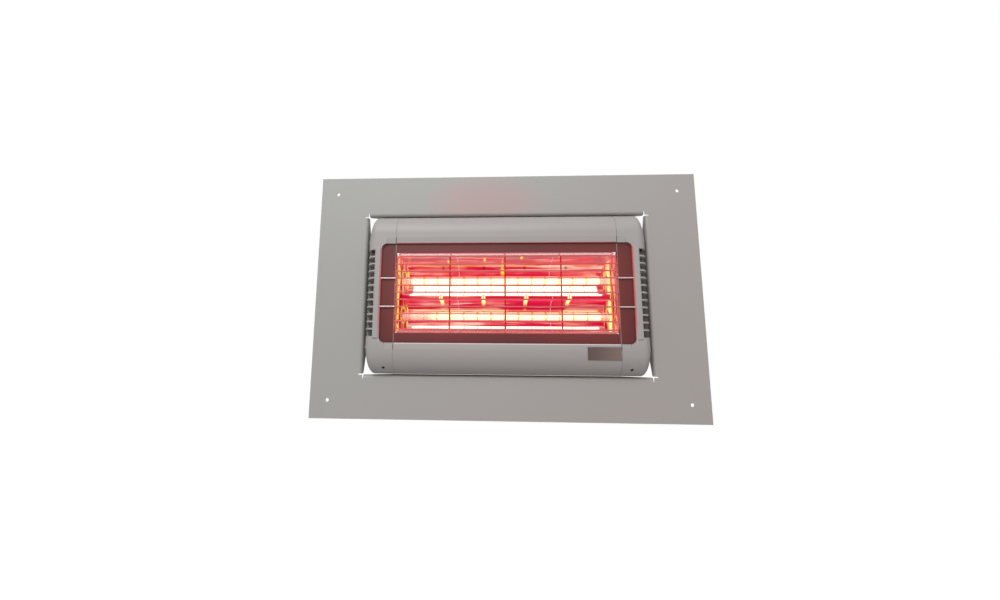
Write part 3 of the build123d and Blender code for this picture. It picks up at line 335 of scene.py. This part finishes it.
def trough_mirror(which):
    """Rolled mirror, clear at its lip; further in, the lamps' crimson glow, their images as white bands and
    glints at the fixings are painted into its colour and emission.
    """
    f = Finish("mirror_" + which, Metallic=1.0, Emission_Strength=1.0)
    point, (x, y, z) = f.place()
    streak = f.noise(f.stretched(point, 5.0, 150.0, 260.0), 1.0, 3.0, 0.6)
    patch = f.noise(f.stretched(point, 22.0, 60.0, 60.0), 1.0, 2.0)
    wavy = z + (f.noise(f.stretched(point, 14.0, 0.0, 0.0), 1.0, 2.0) - 0.5) * 1.6 * MM
    lit, between = along_lamp(f, x)
    # Painted light: the colours below paint the lamps' glow and white-hot images into the emission.
    crimson = srgb(214, 14, 52)
    rose = srgb(232, 74, 88)
    orange = srgb(250, 148, 80)
    white = (1.0, 0.96, 0.90, 1.0)
    cream = (1.0, 0.90, 0.66, 1.0)
    if which == "upper":
        glow = f.ramp(wavy, -9 * MM, 57 * MM, [
            (-8.5 * MM, crimson), (-3.6 * MM, rose), (-2.2 * MM, orange), (-1.2 * MM, white),
            (4.6 * MM, white), (5.3 * MM, crimson), (6.8 * MM, crimson), (7.6 * MM, cream),
            (10.0 * MM, white), (13.5 * MM, white), (15.2 * MM, cream), (16.2 * MM, orange),
            (19.5 * MM, srgb(238, 130, 100)), (30.5 * MM, rose), (36.0 * MM, srgb(232, 120, 104)),
            (40.5 * MM, rose), (43.5 * MM, crimson), (46.0 * MM, orange), (47.2 * MM, srgb(206, 76, 74)),
            (49.4 * MM, srgb(206, 84, 80)), (50.6 * MM, srgb(190, 96, 92)), (52.6 * MM, srgb(150, 110, 108)),
            (53.6 * MM, srgb(90, 80, 80))])
        band = f.ramp(wavy, -9 * MM, 57 * MM, [
            (-2.2 * MM, BLACK), (-1.2 * MM, WHITE), (15.2 * MM, WHITE),
            (16.4 * MM, BLACK)])
        # Painted reflections: dark red dots for the fixings' screw heads, and yellow flares of the lamps.
        hide = f.spot(z, 43 * MM, 3.4 * MM) * at_fixings(f, x, 3.6 * MM)
        flare = f.spot(z, 38 * MM, 8 * MM) * f.spot(x, -2 * MM, 5.0 * MM)
        flare = flare + f.spot(z, 43 * MM, 11 * MM) * f.spot(x, -3 * MM, 1.2 * MM) * 0.8
        imaged = at_fixings(f, (x + 2.4 * MM) * 1.16, 3.4 * MM)
        flare = flare + f.spot(z - x * 0.026, 51.2 * MM, 1.9 * MM) * imaged
    else:
        glow = f.ramp(wavy, -57 * MM, -8 * MM, [
            (-56.5 * MM, BLACK), (-53.0 * MM, srgb(150, 60, 60)), (-50.4 * MM, crimson), (-49.2 * MM, orange),
            (-48.6 * MM, white), (-45.8 * MM, white), (-45.0 * MM, orange), (-44.2 * MM, crimson),
            (-40.0 * MM, srgb(224, 50, 92)), (-38.4 * MM, rose), (-37.6 * MM, cream), (-36.6 * MM, rose),
            (-33.0 * MM, crimson), (-25.0 * MM, crimson), (-23.0 * MM, orange), (-21.8 * MM, cream),
            (-20.4 * MM, orange), (-19.2 * MM, crimson), (-14.0 * MM, srgb(206, 40, 72)), (-9.0 * MM, rose)])
        band = f.ramp(wavy, -57 * MM, -8 * MM, [
            (-49.0 * MM, BLACK), (-48.4 * MM, WHITE), (-45.8 * MM, WHITE),
            (-45.0 * MM, BLACK)])
        # Painted reflections: dark dots for the fixings' screw heads, with a faint painted flare.
        hide = f.spot(z, -23.5 * MM, 1.6 * MM) * at_fixings(f, x, 3.4 * MM)
        flare = f.spot(z, -20.5 * MM, 3.0 * MM) * at_fixings(f, x, 3.4 * MM) * 0.35
    # Painted glints: the lamps caught on the ridge's fixings as upright yellow lines.
    glint = at_fixings(f, x - 1.6 * MM, 1.9 * MM) + at_fixings(f, x + 1.6 * MM, 1.9 * MM)
    glint = glint + at_fixings(f, x, 1.6 * MM) * 0.8
    if which == "upper":
        posts = f.spot(z, -3 * MM, 8 * MM) * glint
    else:
        posts = f.spot(z, -9 * MM, 7 * MM) * glint
    posts = posts + f.spot(z, 11 * MM, 6 * MM) * at_fixings(f, x, 4.0 * MM) * 0.6
    # Painted highlight along the seam between the mirror's sheets.
    seam = f.spot(abs(x), MIRROR_SEAM, 0.9 * MM)
    cooled = f.mix(lit, f.mix(0.75, glow, crimson), glow)
    share = f.node("ShaderNodeSeparateColor", None, {0: band}) * lit
    calm = 1.0 - share
    # Painted streaks of reflected light and of deep crimson glow.
    zone = f.noise(f.stretched(point, 13.0, 60.0, 60.0), 1.0, 2.0, 0.55)
    streaked = f.mix(zone.above(0.57, 0.04) * calm * 0.42, cooled, srgb(255, 190, 160))
    streaked = f.mix((1.0 - zone.above(0.47, 0.05)) * calm * 0.75, streaked, srgb(206, 0, 56))
    streaked = f.mix(streak.above(0.58, 0.03) * calm * 0.7, streaked,
                     f.mix(patch.above(0.5, 0.1), srgb(240, 104, 104), srgb(255, 230, 206)))
    streaked = f.mix((1.0 - streak.above(0.44, 0.05)) * calm * 0.6, streaked, srgb(212, 0, 60))
    streaked = f.mix(seam * calm * 0.6, streaked, srgb(255, 196, 186))
    # Painted reflection: the lamp's own image as white-hot bands, orange at the filament's supports.
    hot = f.mix(between, (1.2, 0.6, 0.12, 1.0), (1.9, 1.8, 1.5, 1.0))
    streaked = f.mix(share * (0.55 + 0.4 * patch), streaked, hot)
    # Painted grey streaks of reflection on the upper wall; the painted glow shows only on faces looking into
    # the hollow.
    lip = y.above(-8.5 * MM, 2.5 * MM)
    wall = z.above(47 * MM, 1.5 * MM)
    grey_streak = f.noise(f.stretched(point, 8.0, 230.0, 0.0), 1.0, 3.0, 0.55).above(0.52, 0.07)
    toned = f.mix(wall * grey_streak * 0.85, streaked, srgb(124, 106, 110))
    toned = f.mix(hide * 0.85, toned, srgb(132, 10, 14))
    toned = f.mix(flare, toned, (1.25, 0.85, 0.06, 1.0))
    toned = f.mix(posts * 0.95, toned, (1.5, 1.2, 0.4, 1.0))
    toned = f.mix(inward(f, point, (0.0, HOLLOW_Y, HOLLOW_Z[which])), BLACK, toned)
    # The base colour carries a painted red tint of the lamps' glow further in, and the lip's emission is a
    # painted glow, grey on the upper mirror and red on the lower.
    clear = f.mix(wall * grey_streak, f.mix(wall, srgb(56, 4, 10), srgb(130, 44, 48)), srgb(96, 92, 96))
    base = f.mix(lip, srgb(232, 228, 228), clear)
    edge = srgb(96, 94, 94) if which == "upper" else srgb(96, 40, 40)
    f.feed(Base_Color=base, Roughness=0.14 + 0.12 * patch, Emission_Color=f.mix(lip, edge, toned),
           Normal=f.bump(streak, 0.10, 0.0006))
    return f


def fluted_mirror():
    """End reflectors, with the orange and yellow light of the lamps beside them painted into their flutes."""
    f = Finish("end_mirror", Metallic=1.0, Emission_Strength=0.85)
    point, (x, y, z) = f.place()
    ripple = f.noise(f.stretched(point, 0.0, 330.0, 26.0), 1.0, 3.0, 0.6)
    bend = y + (f.noise(f.stretched(point, 0.0, 0.0, 45.0), 1.0, 2.0) - 0.5) * 9 * MM
    # Painted light: the colours below paint the lamps' glow, reflections and highlights into the flutes'
    # emission.
    crimson = srgb(206, 22, 40)
    rose = srgb(232, 92, 84)
    yellow = (1.2, 0.85, 0.10, 1.0)
    right = f.ramp(bend, -12 * MM, 48 * MM, [
        (-12 * MM, srgb(190, 30, 38)), (-5 * MM, rose), (-1 * MM, srgb(250, 200, 180)), (3 * MM, crimson),
        (9 * MM, srgb(246, 140, 50)), (12 * MM, yellow), (15 * MM, srgb(255, 246, 210)),
        (20 * MM, srgb(255, 246, 210)), (23 * MM, yellow), (26 * MM, srgb(250, 150, 60)),
        (31 * MM, crimson), (40 * MM, rose), (47 * MM, srgb(198, 24, 62))])
    left = f.ramp(bend, -12 * MM, 48 * MM, [
        (-12 * MM, rose), (-7 * MM, srgb(252, 176, 70)), (0 * MM, yellow), (4 * MM, crimson),
        (12 * MM, srgb(110, 6, 14)), (16 * MM, crimson), (24 * MM, srgb(230, 70, 60)),
        (30 * MM, srgb(140, 8, 20)), (34 * MM, srgb(246, 130, 50)), (41 * MM, yellow),
        (47 * MM, srgb(214, 40, 56))])
    side = x.above(0.0, 1 * MM)
    tone = f.mix(side, left, right)
    hot = f.noise(f.stretched(point, 0.0, 60.0, 60.0), 1.0, 2.0).above(0.42, 0.12)
    tone = f.mix(hot + side * 0.6, f.mix(0.72, tone, crimson), tone)
    fine = f.noise(f.stretched(point, 0.0, 620.0, 90.0), 1.0, 2.0, 0.6)
    tone = f.mix(ripple.above(0.58, 0.04), tone, srgb(255, 206, 170))
    tone = f.mix(1.0 - ripple.above(0.42, 0.04), tone, srgb(150, 16, 24))
    tone = f.mix(fine.above(0.62, 0.04) * 0.7, tone, srgb(255, 190, 150))
    tone = f.mix((1.0 - fine.above(0.39, 0.04)) * 0.8, tone, srgb(134, 8, 22))
    # Painted yellow rings of lamp light round the holes for the lamps.
    depth = (y - LAMP_EYE_Y) * (y - LAMP_EYE_Y)
    rings = [f.spot(((z - level) * (z - level) + depth) ** 0.5, 11 * MM, 4 * MM)
             for level in HOLLOW_Z.values()]
    tone = f.mix((rings[0] + rings[1]) * 0.6, tone, yellow)
    # Painted highlights: a white-hot core on the right reflector, yellow pools on the left.
    core = f.spot(bend, 17 * MM, 7 * MM) * side * (0.5 + 0.5 * hot)
    pool = (f.spot(bend, -1 * MM, 5 * MM) + f.spot(bend, 41 * MM, 5 * MM)) * (1.0 - side)
    tone = f.mix(core * 0.9, tone, (1.6, 1.35, 0.55, 1.0))
    tone = f.mix(pool * hot * 0.9, tone, (1.5, 1.1, 0.16, 1.0))
    # Painted reflection: the top is paler; the base colour is a painted red tint of the lamps' glow.
    high = z.above(40 * MM, 6 * MM)
    tone = f.mix(high * 0.5, tone, srgb(216, 120, 116))
    f.feed(Base_Color=f.mix(high, srgb(90, 10, 14), srgb(150, 80, 80)), Roughness=0.2 + 0.15 * ripple,
           Emission_Color=tone, Normal=f.bump(ripple, 0.25, 0.001))
    return f


def drawn_wire(upright=False):
    """Bright drawn wire, with the lamps' red light painted onto it in the middle of the guard."""
    f = Finish("guard_upright_steel" if upright else "guard_steel", Metallic=0.6, Emission_Strength=1.0)
    point, (x, y, z) = f.place()
    grain = f.noise(f.stretched(point, 60.0, 900.0, 900.0), 1.0, 2.0)
    inside = 1.0 - abs(x).above(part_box("guard_ring")[1][0] + 0.4 * MM, 0.4 * MM)
    deep = 1.0 - abs(x).above(0.140, 0.006)
    # Painted red glow of the lamps, in base colour and emission, strongest in the middle of the guard.
    red = f.mix(deep, srgb(160, 84, 86), srgb(60, 4, 6) if upright else srgb(150, 70, 72))
    if upright:
        hot = srgb(186, 0, 22)
    else:
        patch = f.noise(f.stretched(point, 9.0, 40.0, 40.0), 1.0)
        hot = f.mix(patch, srgb(160, 16, 34), srgb(148, 74, 74))
    f.feed(Base_Color=f.mix(inside, srgb(200, 184, 184), red), Roughness=0.34 + 0.14 * grain,
           Emission_Color=f.mix(inside * 0.85, BLACK, hot), Normal=f.bump(grain, 0.1, 0.0002))
    return f


def lit_screw():
    """Bright screw heads, with a painted red glow and both lamps painted on as upright glints."""
    f = Finish("lit_screw", Metallic=1.0, Emission_Strength=1.1)
    point, (x, y, z) = f.place()
    # Painted glints: two upright lines of lamp light on each head, over a painted red glow.
    lines = at_fixings(f, x - 1.6 * MM, 1.8 * MM) + at_fixings(f, x + 1.6 * MM, 1.8 * MM)
    grain = f.noise(point, 500.0)
    f.feed(Base_Color=f.mix(grain, srgb(190, 60, 60), srgb(214, 90, 80)), Roughness=0.2 + 0.2 * grain,
           Emission_Color=f.mix(lines, srgb(232, 96, 76), (1.3, 1.1, 0.5, 1.0)),
           Normal=f.bump(grain, 0.1, 0.0002))
    return f


def hot_coil():
    """White-hot filament."""
    f = Finish("filament", Roughness=0.6, Emission_Strength=7.0)
    point, (x, y, z) = f.place()
    f.feed(Base_Color=f.mix(f.noise(point, 400.0), srgb(255, 214, 150), srgb(255, 236, 190)),
           Emission_Color=f.mix(f.noise(point, 30.0), (1.0, 0.80, 0.50, 1.0), (1.0, 0.90, 0.66, 1.0)))
    return f


def glowing_quartz():
    """Quartz tube: clear at its ends, hazed with light along the heated length between the supports."""
    f = Finish("quartz", IOR=1.45, Emission_Strength=1.6)
    point, (x, y, z) = f.place()
    heat = 1.0 - abs(x).above(LAMP_HALF_HEAT, 3 * MM)
    beat = abs((x * (math.pi / SUPPORT_PITCH)).wave())
    between = beat.above(0.22, 0.16)
    haze = heat * (0.45 + 0.4 * between)
    warm = f.mix(between, srgb(255, 120, 60), srgb(255, 226, 176))
    dull = (1.0 - z.above(0.0, 1 * MM)) * (1.0 - x.above(-60 * MM, 20 * MM))
    dull = dull * f.spot((x * 62.0).wave(), -0.9, 1.1)
    warm = f.mix(dull * 0.8, warm, srgb(226, 84, 96))
    cold = f.spot(abs(x), 146 * MM, 9 * MM) * (1.0 - heat)
    f.feed(Base_Color=f.mix(heat, srgb(226, 224, 222), srgb(255, 190, 150)), Roughness=0.06 + 0.1 * haze,
           Alpha=0.16 + haze + cold * 0.6,
           Emission_Color=f.mix(heat + cold, BLACK, f.mix(cold, warm, srgb(196, 40, 44))))
    return f


def glazed_ceramic(name, colour):
    """Pressed ceramic with a speckle."""
    f = Finish(name, IOR=1.5)
    point, _ = f.place()
    speck = f.noise(point, 1400.0, 2.0)
    f.feed(Base_Color=f.mix(speck.above(0.62, 0.08) * 0.5, colour, srgb(150, 140, 128)),
           Roughness=0.55 + 0.1 * speck, Normal=f.bump(f.noise(point, 700.0), 0.15, 0.0003))
    return f


def worked_metal(name, light, dark, rough):
    """Plated, brushed or turned metal with its grain along Y."""
    f = Finish(name, Metallic=1.0)
    point, _ = f.place()
    grain = f.noise(f.stretched(point, 900.0, 60.0, 900.0), 1.0, 3.0, 0.6)
    cloud = f.noise(point, 40.0, 2.0)
    f.feed(Base_Color=f.mix(grain, dark, f.mix(cloud, dark, light)), Roughness=rough + 0.16 * grain,
           Normal=f.bump(grain, 0.12, 0.0002))
    return f


def moulded(name, light, dark, rough):
    """Moulded plastic or rubber with a fine spark-eroded grain."""
    f = Finish(name, IOR=1.48)
    point, _ = f.place()
    fine = f.noise(point, 1200.0, 2.0)
    cloud = f.noise(point, 25.0, 2.0)
    f.feed(Base_Color=f.mix(cloud, dark, light), Roughness=rough + 0.12 * fine,
           Normal=f.bump(fine, 0.2, 0.0003))
    return f


def braided_sleeve():
    """Woven glass sleeve on the leads."""
    f = Finish("lead_sleeve", IOR=1.45)
    point, (x, y, z) = f.place()
    weave = ((x + y) * 2600.0).wave() * ((x - y + z) * 2600.0).wave()
    f.feed(Base_Color=f.mix(weave * 0.5 + 0.5, srgb(176, 168, 150), srgb(222, 216, 200)),
           Roughness=0.78 + 0.06 * weave, Normal=f.bump(weave, 0.4, 0.0004))
    return f


def bare_badge():
    """Dark brushed plate, lighter to its lower right."""
    f = Finish("badge_metal", Metallic=0.75)
    point, (x, y, z) = f.place()
    low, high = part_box("badge_plate")
    across = (x - low[0]) / (high[0] - low[0])
    grain = f.noise(f.stretched(point, 30.0, 900.0, 1500.0), 1.0, 3.0, 0.6)
    base = f.mix(across.above(0.5, 0.5), srgb(100, 84, 80), srgb(130, 112, 104))
    f.feed(Base_Color=f.mix(grain * 0.5, base, srgb(82, 66, 62)), Roughness=0.34 + 0.16 * grain,
           Normal=f.bump(grain, 0.1, 0.0002))
    return f


def dress_nodes():
    """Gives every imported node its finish, by the record's slots."""
    finishes = {
        "plate_paint": plate_paint(),
        "profile_paint": powder_coat("profile_paint", srgb(169, 163, 161), srgb(162, 156, 154), 0.44, "flat"),
        "cap_paint": powder_coat("cap_paint", srgb(168, 164, 161), srgb(161, 157, 154), 0.46, "upright"),
        "window_dark": bronze_panel(),
        "guard_steel": drawn_wire(),
        "mirror": trough_mirror("upper"),
        "quartz": glowing_quartz(),
        "filament": hot_coil(),
        "tungsten": worked_metal("tungsten", srgb(255, 150, 90), srgb(215, 90, 50), 0.4),
        "ceramic": glazed_ceramic("ceramic", srgb(226, 218, 204)),
        "contact_brass": worked_metal("contact_brass", srgb(214, 184, 120), srgb(178, 146, 84), 0.25),
        "spring_steel": worked_metal("spring_steel", srgb(190, 190, 192), srgb(150, 150, 152), 0.28),
        "bracket_steel": worked_metal("bracket_steel", srgb(198, 200, 200), srgb(168, 170, 170), 0.36),
        "screw_steel": worked_metal("screw_steel", srgb(205, 203, 200), srgb(165, 162, 158), 0.3),
        "joint_seal": moulded("joint_seal", srgb(150, 146, 143), srgb(142, 138, 135), 0.7),
        "seal_rubber": moulded("seal_rubber", srgb(52, 51, 50), srgb(40, 39, 38), 0.7),
        "box_plastic": moulded("box_plastic", srgb(66, 67, 70), srgb(56, 57, 60), 0.5),
        "gland_plastic": moulded("gland_plastic", srgb(44, 44, 47), srgb(36, 36, 39), 0.42),
        "lead_sleeve": braided_sleeve(),
        "badge_metal": bare_badge(),
    }
    for part in frame["record"]["subparts"]:
        obj = frame["nodes"][part["node"]]
        made = finishes[part["material_slot"]]
        obj.data.materials.clear()
        obj.data.materials.append(made.material)
    own = {"left_end_reflector": fluted_mirror(), "lower_reflector": trough_mirror("lower"),
           "guard_upright_wires": drawn_wire(upright=True), "small_inner_screws": lit_screw()}
    own["right_end_reflector"] = own["left_end_reflector"]
    for node, made in own.items():
        frame["nodes"][node].data.materials[0] = made.material
    return finishes


def new_piece(name, mesh, finish, node, body):
    """A modelled piece that stands for a node and moves with its body."""
    obj = bpy.data.objects.new(name, mesh)
    bpy.context.scene.collection.objects.link(obj)
    mesh.materials.append(finish.material)
    for face in mesh.polygons:
        face.use_smooth = True
    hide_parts(node)
    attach(obj, body)
    return obj


def coil_mesh(name, start, end, y, z, radius, wire, pitch, sides=6, steps=10):
    """A wire wound along X."""
    bm = bmesh.new()
    turns = (end - start) / pitch
    count = int(turns * steps)
    rings = []
    for i in range(count + 1):
        angle = 2 * math.pi * i / steps
        x = start + (end - start) * i / count
        out = Vector((0, math.cos(angle), math.sin(angle)))
        centre = Vector((x, y, z)) + out * radius
        turned = [2 * math.pi * k / sides for k in range(sides)]
        rings.append([bm.verts.new(centre + wire / 2 * (math.cos(a) * out + math.sin(a) * Vector((1, 0, 0))))
                      for a in turned])
    for first, second in zip(rings, rings[1:]):
        for k in range(sides):
            bm.faces.new((first[k], first[(k + 1) % sides], second[(k + 1) % sides], second[k]))
    bm.faces.new(rings[0][::-1])
    bm.faces.new(rings[-1])
    bmesh.ops.recalc_face_normals(bm, faces=bm.faces)
    mesh = bpy.data.meshes.new(name)
    bm.to_mesh(mesh)
    bm.free()
    return mesh


def contact_springs(finishes):
    """A wound spring behind each sprung contact."""
    for which in ("upper", "lower"):
        node = which + "_contact_spring"
        low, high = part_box(node)
        centre = middle(node)
        radius = (high[2] - low[2] - SPRING_WIRE) / 2
        start = low[0] + SPRING_WIRE / 2
        end = high[0] - SPRING_WIRE / 2
        mesh = coil_mesh(node, start, end, centre.y, centre.z, radius, SPRING_WIRE,
                         (end - start) / SPRING_TURNS, sides=8, steps=24)
        spring = new_piece(which + "_wound_spring", mesh, finishes["spring_steel"],
                           node, "heater")
        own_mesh(spring)


def filaments(finishes):
    """A wound filament for each lamp, over the heated length."""
    for which in ("upper", "lower"):
        node = which + "_lamp_filament"
        centre = middle(node)
        mesh = coil_mesh(node, -LAMP_HALF_HEAT, LAMP_HALF_HEAT, centre.y, centre.z,
                         COIL_RADIUS, COIL_WIRE, COIL_PITCH)
        new_piece(which + "_lamp_wound_filament", mesh, finishes["filament"],
                  node, which + "_lamp")


def studio():
    """Pale floor, plain white surround and one soft lamp."""
    scene = bpy.context.scene
    world = bpy.data.worlds.new("studio")
    scene.world = world
    world.use_nodes = True
    tree = world.node_tree
    back = tree.nodes["Background"]
    path = tree.nodes.new("ShaderNodeLightPath")
    seen, seen_too = (tree.nodes.new("ShaderNodeMath") for _ in range(2))
    seen.operation = seen_too.operation = "MAXIMUM"
    level = tree.nodes.new("ShaderNodeMapRange")
    level.inputs[3].default_value = WORLD_LIGHT
    level.inputs[4].default_value = WORLD_SEEN
    tree.links.new(path.outputs["Is Camera Ray"], seen.inputs[0])
    tree.links.new(path.outputs["Is Glossy Ray"], seen.inputs[1])
    tree.links.new(seen.outputs[0], seen_too.inputs[0])
    tree.links.new(path.outputs["Is Transmission Ray"], seen_too.inputs[1])
    tree.links.new(seen_too.outputs[0], level.inputs[0])
    tree.links.new(level.outputs[0], back.inputs["Strength"])
    back.inputs["Color"].default_value = WHITE

    bm = bmesh.new()
    bm.faces.new([bm.verts.new((x * FLOOR_HALF, y * FLOOR_HALF, FLOOR_HEIGHT))
                  for x, y in ((-1, -1), (1, -1), (1, 1), (-1, 1))])
    mesh = bpy.data.meshes.new("floor")
    bm.to_mesh(mesh)
    bm.free()
    floor = bpy.data.objects.new("floor", mesh)
    scene.collection.objects.link(floor)
    f = Finish("floor_paint", Roughness=0.9, Emission_Strength=1.0)
    point, _ = f.place()
    seen = f.node("ShaderNodeLightPath")
    seen = seen + f.node("ShaderNodeLightPath", out=3) + f.node("ShaderNodeLightPath", out=6)
    f.feed(Base_Color=f.mix(f.noise(point, 3.0), (0.80, 0.80, 0.80, 1.0), (0.82, 0.82, 0.82, 1.0)),
           Emission_Color=f.mix(seen, BLACK, FLOOR_GLOW))
    mesh.materials.append(f.material)

    data = bpy.data.lights.new("key", "AREA")
    data.shape = "DISK"
    data.size = KEY_SIZE
    data.energy = KEY_WATTS
    lamp = bpy.data.objects.new("key", data)
    lamp.location = KEY_PLACE
    lamp.rotation_mode = "QUATERNION"
    lamp.rotation_quaternion = (-Vector(KEY_PLACE)).to_track_quat("-Z", "Y")
    scene.collection.objects.link(lamp)


def camera():
    """The photograph's camera."""
    data = bpy.data.cameras.new("camera")
    data.sensor_width = SENSOR_MM
    data.lens = LENS_PX * SENSOR_MM / PHOTO_WIDTH
    data.shift_x = (PHOTO_CENTRE_PX[0] - CENTRE_PX[0]) / PHOTO_WIDTH
    data.shift_y = (CENTRE_PX[1] - PHOTO_CENTRE_PX[1]) / PHOTO_WIDTH
    data.clip_start = 0.01
    eye = bpy.data.objects.new("camera", data)
    turn = Matrix((EYE_RIGHT, EYE_UP, -EYE_AHEAD)).transposed().to_4x4()
    eye.matrix_world = Matrix.Translation(EYE) @ turn
    bpy.context.scene.collection.objects.link(eye)
    bpy.context.scene.camera = eye


finishes = dress_nodes()
filaments(finishes)
contact_springs(finishes)
studio()
camera()
bpy.context.scene.view_settings.view_transform = "Standard"
